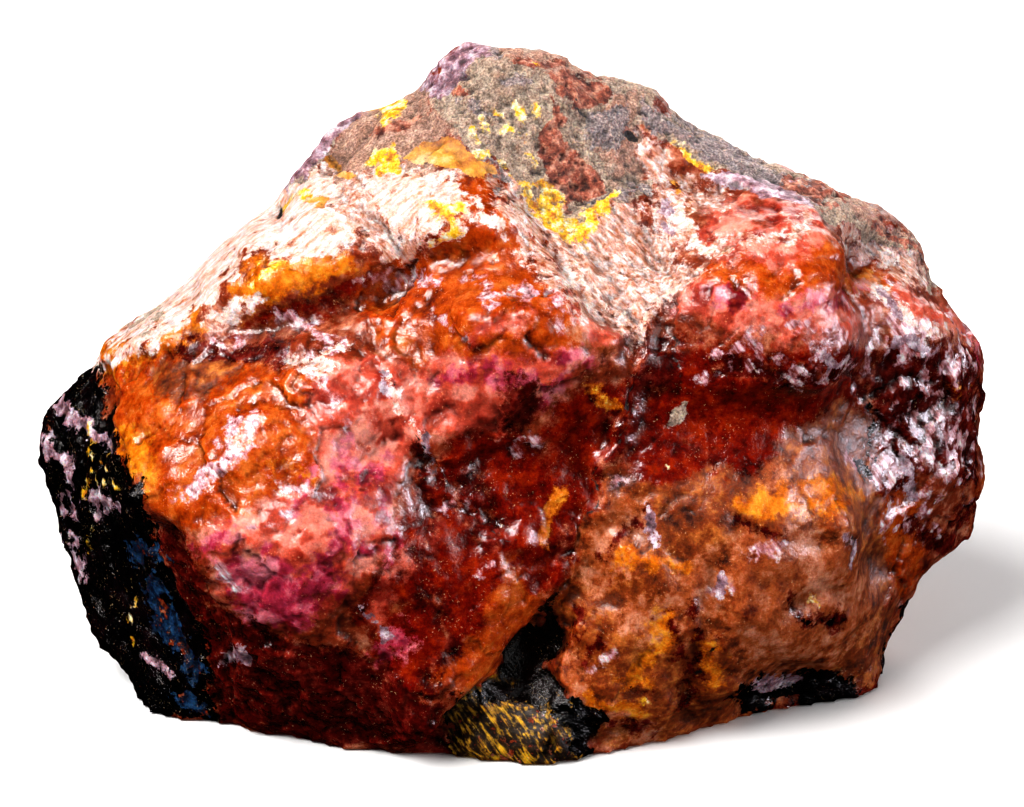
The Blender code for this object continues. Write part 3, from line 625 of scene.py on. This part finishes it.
# A place with less of a mineral than this has none of its relief. The relief dies out just above the break
# that the stone rests on.
TRACE = 0.01
FOOT = 1.2 * MILLIMETRE
CRACK_DEPTH = 0.22
CREASE_DEPTH = 1.1
CREASE_SOFTNESS = 9
CREASE = [(488, 676), (512, 650), (536, 614), (562, 588), (560, 632), (550, 668), (562, 692), (520, 694)]
# The main crack is all but closed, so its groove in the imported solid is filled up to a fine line, and the
# left one is filled more than half.
HEALED_DEPTH = 0.9
HEALED_HALF_WIDTH = 0.95
HEALED_CRACKS = ((MAIN_CRACK, 1.0), (LEFT_CRACK, 0.6))

# How much of each kind of relief the minerals have. The calm ones have less of the scallops and cleavage.
STEPPED = {"black_oxide_and_shade": 1.0, "maroon_glass_and_shade": 0.9}
PITTED = {
    "weathered_rind": 1.0, "mauve_rind": 0.5, "slate_rind": 1.0, "black_oxide_and_shade": 0.6, "brick_rind": 1.6,
}
CALM = {"deep_red_glass": 0.65, "salmon_carbonate": 0.8, "brown_carbonate": 0.5}
BEADY = {"rose_grains": 1.0, "magenta_grains": 1.0}
BEADS_ELSEWHERE = 0.35
UNBEADED = {"brown_carbonate": 1.0, "salmon_carbonate": 1.0}
MOST_UNBEADED = 0.8
MOST_PITTED = 1.6
MOST_CALM = 0.8
DULL = {
    "weathered_rind": 1.0, "mauve_rind": 1.0, "slate_rind": 1.0, "brick_rind": 1.0,
    "fibrous_carbonate": 1.0, "pale_crust": 1.0, "black_oxide_and_shade": 1.0,
}


def sum_of(kinds):
    """How much of these kinds of mineral each place has, all together."""
    return sum(share * minerals[name] for name, share in kinds.items())


def scalloped(place, size):
    """A hollow round each centre and a rim between them, from 0 in the hollow to about 1 on the rim."""
    near, _ = noise.voronoi(place / size)
    return min(near[0] ** 2 * 1.6, 1.0)


def beaded(place, size):
    """A round bead at each centre and a groove between them."""
    near, _ = noise.voronoi(place / size + Vector((7.0, 3.0, 5.0)))
    return min((near[1] - near[0]) * 2.2, 1.0) ** 0.6


def faceted(place, size):
    """A flat face for each grain, tilted its own way."""
    _, centres = noise.voronoi(place / size)
    lean = noise.cell_vector(centres[0] * size * 3) - Vector((0.5, 0.5, 0.5))
    return lean.dot(place / size - centres[0])


def own_tone(place):
    """A tone from -1 to 1 for the cell that a place lies in, the same all over the cell."""
    _, centres = noise.voronoi(place)
    return noise.cell(centres[0] * 7.0)


glassy = np.clip(1 - sum_of(DULL), 0, 1)
beady = glassy * np.clip(sum_of(BEADY) + BEADS_ELSEWHERE, 0, 1)
beady *= 1 - MOST_UNBEADED * np.clip(sum_of(UNBEADED), 0, 1)
stepped = np.clip(sum_of(STEPPED), 0, 1)
pitted = np.clip(sum_of(PITTED), 0, MOST_PITTED)
calm = np.clip(sum_of(CALM), 0, MOST_CALM)
combed = minerals["fibrous_carbonate"]
lift = np.zeros(count)
grain_tone = np.zeros(count)
painted_glints = share_of(in_photograph, PAINTED_GLINT_PLACES, [], SOFTNESS) * near_side
glint = np.ones(count)
crowding = np.zeros(count)
across = in_photograph @ np.array((FIBRE_RUN.y, -FIBRE_RUN.x))
along = in_photograph @ np.array(FIBRE_RUN)
for index, point in enumerate(rounded):
    place = Vector(point) / MILLIMETRE
    size, height = WARP
    warp = Vector([noise.noise(place / size + Vector((n * 9.0, 0, 0))) for n in range(3)])
    warped = place + height * warp
    grain_tone[index] = own_tone(warped / GRAIN)
    if painted_glints[index] > TRACE or minerals["painted_highlight"][index] > TRACE:
        glint_place = Vector((place.x * GLINT_NARROWER, place.y, place.z * GLINT_TALLER))
        glint[index] = own_tone(glint_place / GLINT)
        crowding[index] = noise.fractal(place / GLINT_CROWD, 1.0, 2.0, 2)
    size, height = SWELLS
    rise = height * noise.fractal(place / size, 1.0, 2.0, 3)
    size, height = ROUGH
    rise += (height - GLASS_SMOOTHER * glassy[index]) * noise.fractal(place / size, 0.8, 2.0, 2)
    if glassy[index] > TRACE:
        rise += glassy[index] * (1 - calm[index]) * (
            sum(height * (scalloped(warped, size) - MEAN_SCALLOP) for size, height in SCALLOPS)
            + sum(height * faceted(warped, size) for size, height in CLEAVAGE)
        )
    if beady[index] > TRACE:
        rise += beady[index] * sum(height * (beaded(warped, size) - MEAN_BEAD) for size, height in BEADS)
    if stepped[index] > TRACE:
        rise += stepped[index] * sum(height * faceted(warped, size) for size, height in STEPS)
    if pitted[index] > TRACE:
        size, height = PITS
        rough = noise.fractal(place / size, 0.8, 2.0, 3)
        rise += pitted[index] * height * (rough - PIT_DEPTH * max(0.0, -rough - PIT_START))
    if combed[index] > TRACE:
        strand = Vector((across[index] / FIBRE_WIDTH, along[index] / FIBRE_LENGTH, 0.0))
        rise += combed[index] * FIBRE_HEIGHT * noise.fractal(strand, 0.7, 2.0, 3)
    lift[index] = rise
lift -= CRACK_DEPTH * minerals["crack_filling"]
lift -= CREASE_DEPTH * near_side * share_of(in_photograph, [CREASE], [], CREASE_SOFTNESS)
for crack, share in HEALED_CRACKS:
    gap = gap_to_course(in_photograph, crack) * PIXEL / MILLIMETRE
    lift += near_side * share * HEALED_DEPTH * np.exp(-((gap / HEALED_HALF_WIDTH) ** 2))
lift *= np.clip(packed[:, 2] / FOOT, 0.0, 1.0)
broken = rounded + outward * lift[:, None] * MILLIMETRE
broken[:, 2] = np.maximum(broken[:, 2], 0.0)
broken[resting, 2] = 0.0
put_places(surface, broken)

# Hollows and rims of two sizes in the relief: the hollows are darkened with dirt and painted shade, the rims
# paled with a painted highlight. For each size: how often the skin is smoothed to find them, the depth that
# counts in full, and what it adds to hollows and rims.
HOLLOWS_AND_RIMS = ((3, 0.10 * MILLIMETRE, 0.6, 0.6), (48, 0.45 * MILLIMETRE, 0.6, 0.4))
hollow_dirt_and_shade = np.zeros(count)
rim_highlight = np.zeros(count)
for times, full_depth, in_hollow, on_rim in HOLLOWS_AND_RIMS:
    proud = ((broken - smoothed(broken, ends, times)) * outward).sum(axis=1) / full_depth
    hollow_dirt_and_shade += np.clip(-proud, 0, 1) * in_hollow
    rim_highlight += np.clip(proud, 0, 1) * on_rim
# The painted highlights are broken into glints, and painted glints are added in crowds on the right.
minerals["painted_highlight"] = np.maximum(
    minerals["painted_highlight"] * (FAINT_HIGHLIGHT + (1 - FAINT_HIGHLIGHT) * (glint > HIGHLIGHT_RARITY)),
    SPARKLE_STRENGTH * painted_glints * (glint > SPARKLE_RARITY)
    * np.clip(GLINT_CROWD_LEVEL + GLINT_CROWD_SWING * crowding, 0, 1),
)
marks = {"hollow_dirt_and_shade": hollow_dirt_and_shade, "rim_highlight": rim_highlight, "dullness": 1 - glassy, "grain_tone": grain_tone * 0.5 + 0.5}
for name, values in {**minerals, **marks}.items():
    mark = surface.attributes.new(name, "FLOAT", "POINT")
    mark.data.foreach_set("value", np.clip(values, 0, 1).astype(np.float32))
surface.shade_smooth()
stone_surface = shown("rhodochrosite_surface", surface)

# The finish is bare broken rhodochrosite with its crusts: a soft, brittle carbonate, glassy where it is
# fresh and earthy where it has weathered. Its gloss lies in small broken patches, as if it were wet.
finish = bpy.data.materials.new("massive_rhodochrosite")
finish.use_nodes = True
nodes = finish.node_tree.nodes
links = finish.node_tree.links
shader = nodes["Principled BSDF"]


def linear(hex_colour):
    """An sRGB hex colour as the linear numbers that Blender works in."""
    parts = [int(hex_colour[start:start + 2], 16) / 255 for start in (1, 3, 5)]
    return [part / 12.92 if part <= 0.04045 else ((part + 0.055) / 1.055) ** 2.4 for part in parts] + [1.0]


def add(kind, inputs=(), **settings):
    """Adds one node to the finish, with its settings, and its inputs as values or other nodes' outputs."""
    made = nodes.new("ShaderNode" + kind)
    for name, value in settings.items():
        setattr(made, name, value)
    for name, value in dict(inputs).items():
        if isinstance(value, bpy.types.NodeSocket):
            links.new(value, made.inputs[name])
        else:
            made.inputs[name].default_value = value
    return made


# Patterns that several minerals share. Scales are waves to the metre, worked out from their real size. The
# real grit and dust are under 0.1 mm and the real fibres about 0.1 mm across, too fine to show in the
# render, so they are drawn two to four times as coarse.
CLOUD = 3.2 * MILLIMETRE
RAGGED = 1.1 * MILLIMETRE
GRIT = 0.19 * MILLIMETRE
STRAND = 0.36 * MILLIMETRE
STRAND_LENGTH = 5 * MILLIMETRE
STRAND_SLOPES = {"strand": -34, "slope": 42}
place = add("TexCoord").outputs["Object"]
ragged = add("TexNoise", {"Vector": place, "Scale": 1 / RAGGED, "Detail": 5, "Roughness": 0.7})
ragged_parts = add("SeparateColor", {"Color": ragged.outputs["Color"]}).outputs
cloud = add(
    "TexNoise", {"Vector": place, "Scale": 1 / CLOUD, "Detail": 6, "Roughness": 0.72},
).outputs["Fac"]
grit = add("TexNoise", {"Vector": place, "Scale": 1 / GRIT, "Detail": 2, "Roughness": 0.6}).outputs["Fac"]
strands = {}
for name, slope in STRAND_SLOPES.items():
    turned = (0.0, math.radians(slope), 0.0)
    combed_place = add(
        "Mapping", {"Vector": place, "Rotation": turned, "Scale": (STRAND, STRAND, STRAND_LENGTH)},
        vector_type="TEXTURE",
    ).outputs["Vector"]
    strands[name] = add(
        "TexNoise", {"Vector": combed_place, "Scale": 1.0, "Detail": 2, "Roughness": 0.6},
    ).outputs["Fac"]
grain_tone = add("Attribute", attribute_name="grain_tone").outputs["Fac"]
mottled = add("Mix", {0: 0.55, 2: grain_tone, 3: ragged_parts[1]}, data_type="FLOAT").outputs[0]
PATTERNS = {"cloud": cloud, "ragged": ragged_parts[1]}
for name, first, second, share in (
    ("grain", mottled, cloud, 0.5),
    ("grit", grit, ragged_parts[2], 0.55),
    ("stain", ragged_parts[0], cloud, 0.5),
    ("strand", strands["strand"], ragged_parts[2], 0.35),
    ("slope", strands["slope"], ragged_parts[2], 0.5),
):
    PATTERNS[name] = add("Mix", {0: share, 2: first, 3: second}, data_type="FLOAT").outputs[0]

# Each mineral's colours from its dark to its light places, its pattern, its roughness, how ragged its edge
# is, and how softly it blends into what lies under it. What they give the eye:
# - the carbonates and glasses are fresh breaks, wet with gloss, deep red where thick and orange where thin,
#   and the maroon is partly painted shade along the bottom;
# - the rose and magenta grains are sugary, each grain in a tone of its own;
# - the fibrous sheets and pale crust are satin, streaked, and nearly white in the light, and the painted
#   highlights are streaked near-white patches;
# - the rinds are matt and earthy, speckled grey, mauve and brick, as weathering leaves a carbonate;
# - the black and blue oxides are like pitch, dark with small hard glints, the black is also painted shade at
#   the foot and along the bottom right, and the fibres at the foot gilt;
# - the films, limonite and ochre are powdery stains, so thin that the rock shows at their edges, and the
#   lavender film is partly painted sheen.
LOOKS = {
    "red_carbonate": ("#4A0D03", "#96401E", "#DE9878", "stain", 0.30, 0.0, 0.1),
    "orange_glass": ("#6C1E04", "#BA4E0A", "#E08036", "stain", 0.24, 1.1, 0.25),
    "brown_carbonate": ("#3A0E02", "#92420C", "#DA863C", "stain", 0.42, 1.2, 0.2),
    "salmon_carbonate": ("#6A2408", "#B4602E", "#E4A284", "stain", 0.34, 1.8, 0.3),
    "deep_red_glass": ("#300301", "#781202", "#AE3606", "stain", 0.20, 1.3, 0.3),
    "rose_grains": ("#962E20", "#D66048", "#F6A694", "grain", 0.30, 1.2, 0.3),
    "magenta_grains": ("#74101E", "#BC3A56", "#F0909C", "grain", 0.30, 2.2, 0.3),
    "maroon_glass_and_shade": ("#140102", "#5A0E08", "#9C3A2C", "stain", 0.20, 1.8, 0.25),
    "ochre_glass": ("#8A3402", "#DA7A0A", "#F8B440", "stain", 0.30, 1.4, 0.2),
    "fibrous_carbonate": ("#B46A40", "#E0B0A0", "#FFFAF8", "strand", 0.40, 2.2, 0.2),
    "painted_highlight": ("#8E4438", "#DCA8B0", "#FFFCFF", "strand", 0.26, 2.0, 0.3),
    "pale_crust": ("#E09468", "#F2D0C4", "#FFFFFF", "slope", 0.42, 2.4, 0.2),
    "weathered_rind": ("#7C6658", "#A89484", "#CCB8A4", "grit", 0.85, 0.8, 0.06),
    "mauve_rind": ("#7C5A4A", "#AC8674", "#D2AE9C", "grit", 0.80, 1.4, 0.15),
    "slate_rind": ("#5A4E4C", "#8A7C7C", "#BCAEA8", "grit", 0.80, 1.6, 0.08),
    "brick_rind": ("#4A1A10", "#A05A44", "#DCA48C", "ragged", 0.80, 1.4, 0.08),
    "black_oxide_and_shade": ("#000001", "#030102", "#1A080E", "cloud", 0.22, 1.6, 0.08),
    "golden_fibres": ("#020100", "#382204", "#F0B820", "strand", 0.55, 2.6, 0.12),
    "lavender_film_and_sheen": ("#5E4048", "#A6808C", "#E8DAE2", "ragged", 0.50, 2.0, 0.10),
    "blue_oxide": ("#020610", "#0C2240", "#2C5A82", "ragged", 0.45, 2.2, 0.14),
    "yellow_limonite": ("#C07000", "#FFCA00", "#FFFFE8", "ragged", 0.60, 2.8, 0.22),
    "ochre_crescent": ("#B06A28", "#E8A440", "#FAD09A", "cloud", 0.6, 1.0, 0.06),
    "crack_filling": ("#060202", "#160806", "#381810", "grit", 0.60, 0.8, 0.08),
}
# The patterns keep near their middle, so the three tones stand close round it. A mineral shows from the
# faint share on and is all there at the sure one.
DARK_TONE = 0.37
MIDDLE_TONE = 0.5
LIGHT_TONE = 0.64
EDGE_SWING = 1.5
FAINT_SHARE = 0.02
SURE_SHARE = 0.2
colour = roughness = None
for number, (name, look) in enumerate(LOOKS.items()):
    dark, middle, light, pattern, rough, raggedness, softness = look
    tones = add("ValToRGB", {"Fac": PATTERNS[pattern]})
    tones.color_ramp.elements[0].position = DARK_TONE
    tones.color_ramp.elements[0].color = linear(dark)
    tones.color_ramp.elements[1].position = LIGHT_TONE
    tones.color_ramp.elements[1].color = linear(light)
    tones.color_ramp.elements.new(MIDDLE_TONE).color = linear(middle)
    if colour is None:
        colour, roughness = tones.outputs["Color"], rough
        continue
    amount = add("Attribute", attribute_name=name).outputs["Fac"]
    swing = add("Math", {0: ragged_parts[number % 3], 1: 0.5}, operation="SUBTRACT").outputs[0]
    edge = add(
        "Math", {0: swing, 1: raggedness * EDGE_SWING, 2: amount}, operation="MULTIPLY_ADD",
    ).outputs[0]
    cover = add(
        "MapRange", {"Value": edge, "From Min": 0.5 - softness, "From Max": 0.5 + softness},
        interpolation_type="SMOOTHSTEP",
    ).outputs[0]
    there = add("MapRange", {"Value": amount, "From Min": FAINT_SHARE, "From Max": SURE_SHARE}).outputs[0]
    cover = add("Math", {0: cover, 1: there}, operation="MULTIPLY").outputs[0]
    colour = add("Mix", {0: cover, 6: colour, 7: tones.outputs["Color"]}, data_type="RGBA").outputs[2]
    roughness = add("Mix", {0: cover, 2: roughness, 3: rough}, data_type="FLOAT").outputs[0]

# Dirt and painted shade darken the hollows, and a painted highlight pales the rims. Grit flecks all of the
# stone, the dull minerals most, and a little dust lies on it in patches.
HOLLOW_DIRT_AND_SHADE = "#3A1410"
RIM_HIGHLIGHT = "#FFD8C8"
DUST = "#F8D2A4"
dull = add("Attribute", attribute_name="dullness").outputs["Fac"]
hollow_dirt_and_shade = add("Attribute", attribute_name="hollow_dirt_and_shade").outputs["Fac"]
rim_highlight = add("Attribute", attribute_name="rim_highlight").outputs["Fac"]
hollow_shade_share = add("Math", {0: hollow_dirt_and_shade, 1: 0.85}, operation="MULTIPLY").outputs[0]
shade_darkened = add(
    "MixRGB", {"Fac": hollow_shade_share, "Color1": colour, "Color2": linear(HOLLOW_DIRT_AND_SHADE)}, blend_type="MULTIPLY",
).outputs[0]
# Painted highlight: the rims are paled as if light caught them.
rim_highlight_share = add("Math", {0: rim_highlight, 1: 0.30}, operation="MULTIPLY").outputs[0]
highlighted = add(
    "MixRGB", {"Fac": rim_highlight_share, "Color1": shade_darkened, "Color2": linear(RIM_HIGHLIGHT)},
    blend_type="SOFT_LIGHT",
).outputs[0]
fleck = add(
    "MapRange", {"Value": grit, "From Min": 0.32, "From Max": 0.68, "To Min": 0.45, "To Max": 1.4},
).outputs[0]
fleck_share = add("Math", {0: dull, 1: 0.25, 2: 0.25}, operation="MULTIPLY_ADD").outputs[0]
flecked = add(
    "MixRGB", {"Fac": fleck_share, "Color1": highlighted, "Color2": fleck}, blend_type="MULTIPLY",
).outputs[0]
speck = add("MapRange", {"Value": grit, "From Min": 0.62, "From Max": 0.70}).outputs[0]
dusty_place = add(
    "MapRange", {"Value": ragged_parts[2], "From Min": 0.5, "From Max": 0.62, "To Max": 0.5},
).outputs[0]
dust_share = add("Math", {0: speck, 1: dusty_place}, operation="MULTIPLY").outputs[0]
dusted = add("Mix", {0: dust_share, 6: flecked, 7: linear(DUST)}, data_type="RGBA").outputs[2]
links.new(dusted, shader.inputs["Base Color"])
links.new(roughness, shader.inputs["Roughness"])

# The finest relief is bump: strands in the fibrous sheets, grit, most on the dull minerals, and the
# unevenness of every grain.
STRAND_RISE = 1.6
UNEVEN_RISE = 1.2
BUMP_DEPTH = 0.12 * MILLIMETRE
fibre_share = add("Attribute", attribute_name="fibrous_carbonate").outputs["Fac"]
strand_height = add("Math", {0: strands["strand"], 1: fibre_share}, operation="MULTIPLY").outputs[0]
grit_share = add("Math", {0: dull, 1: 0.7, 2: 0.2}, operation="MULTIPLY_ADD").outputs[0]
grit_height = add("Math", {0: grit, 1: grit_share}, operation="MULTIPLY").outputs[0]
height = add(
    "Math", {0: strand_height, 1: STRAND_RISE, 2: grit_height}, operation="MULTIPLY_ADD",
).outputs[0]
uneven = add("Math", {0: dull, 1: 0.3, 2: 0.75}, operation="MULTIPLY_ADD").outputs[0]
uneven = add("Math", {0: ragged.outputs["Fac"], 1: uneven}, operation="MULTIPLY").outputs[0]
height = add("Math", {0: uneven, 1: UNEVEN_RISE, 2: height}, operation="MULTIPLY_ADD").outputs[0]
bump = add("Bump", {"Height": height, "Strength": 1.0, "Distance": BUMP_DEPTH})
links.new(bump.outputs[0], shader.inputs["Normal"])

# Rhodochrosite bends light by 1.6 to 1.8. Light goes a little way in and comes out red, so thin edges glow.
shader.inputs["IOR"].default_value = 1.6
shader.inputs["Subsurface Weight"].default_value = 0.35
shader.inputs["Subsurface Radius"].default_value = (1.0, 0.28, 0.12)
shader.inputs["Subsurface Scale"].default_value = 1.6 * MILLIMETRE
surface.materials.clear()
surface.materials.append(finish)
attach(stone_surface, "root")
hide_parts("rhodochrosite_stone")

# The floor. A plain pale studio table that runs on behind the stone without an edge, of matte painted
# board, a hair below the flat break. It takes the shadow, but doesn't tint the stone or show in its gloss.
FLOOR_REACH = 3.0
FLOOR_GAP = 0.2 * MILLIMETRE
form = bmesh.new()
bmesh.ops.create_grid(
    form, x_segments=1, y_segments=1, size=FLOOR_REACH, matrix=Matrix.Translation((0.0, 0.0, -FLOOR_GAP)),
)
floor_mesh = bpy.data.meshes.new("studio_floor")
form.to_mesh(floor_mesh)
form.free()
floor = shown("studio_floor", floor_mesh)
painted_board = bpy.data.materials.new("matte_painted_board")
painted_board.use_nodes = True
board_shader = painted_board.node_tree.nodes["Principled BSDF"]
board_shader.inputs["Base Color"].default_value = linear("#F4F3F1")
board_shader.inputs["Roughness"].default_value = 0.9
floor_mesh.materials.append(painted_board)
floor.visible_glossy = False
floor.visible_diffuse = False

# The light and the camera. A large soft lamp stands above and to the left, as in the photograph, with
# fainter ones on the right and behind, in a pale room. The large lamp and the room don't show in the gloss.
# Two small panels, beside the large lamp and on the right, show in the gloss alone, as crisp highlights.
scene = bpy.context.scene
world = bpy.data.worlds.new("pale_room")
scene.world = world
world.use_nodes = True
room = world.node_tree.nodes["Background"]
room.inputs["Color"].default_value = linear("#F6F4FA")
room.inputs["Strength"].default_value = 0.22
world.cycles_visibility.glossy = False


def lamp(name, toward, power, spread, tint="#FFFFFF"):
    """A far soft lamp in some direction from the stone, as wide as its spread in degrees."""
    light = shown(name, bpy.data.lights.new(name, "SUN"))
    light.data.energy = power
    light.data.angle = math.radians(spread)
    light.data.color = linear(tint)[:3]
    light.rotation_mode = "QUATERNION"
    light.rotation_quaternion = Vector(toward).to_track_quat("Z", "Y")
    return light


key_lamp = lamp("key_lamp", (-0.5, -0.42, 0.78), 3.3, 36)
lamp("side_lamp", (0.85, -0.42, 0.30), 1.0, 40)
lamp("back_lamp", (0.25, 0.9, 0.40), 1.3, 40)
sheen_panel = lamp("sheen_panel", (-0.46, -0.42, 0.78), 3.7, 14, "#FFF8F6")
right_panel = lamp("right_panel", (0.97, -0.12, 0.16), 2.1, 14, "#F6F0FF")
for panel in (sheen_panel, right_panel):
    panel.visible_diffuse = False
key_lamp.visible_glossy = False
camera = shown("camera", bpy.data.cameras.new("camera"))
scene.camera = camera
SENSOR_WIDTH = 36
camera.data.sensor_width = SENSOR_WIDTH
camera.data.lens = SENSOR_WIDTH * EYE_DISTANCE / (FRAME_WIDTH * PIXEL)
camera.data.clip_start = 10 * MILLIMETRE
camera.location = AIM + TOWARD_EYE * EYE_DISTANCE
camera.rotation_mode = "QUATERNION"
camera.rotation_quaternion = (-TOWARD_EYE).to_track_quat("-Z", "Y")
scene.view_settings.view_transform = "Standard"
scene.view_settings.look = "High Contrast"
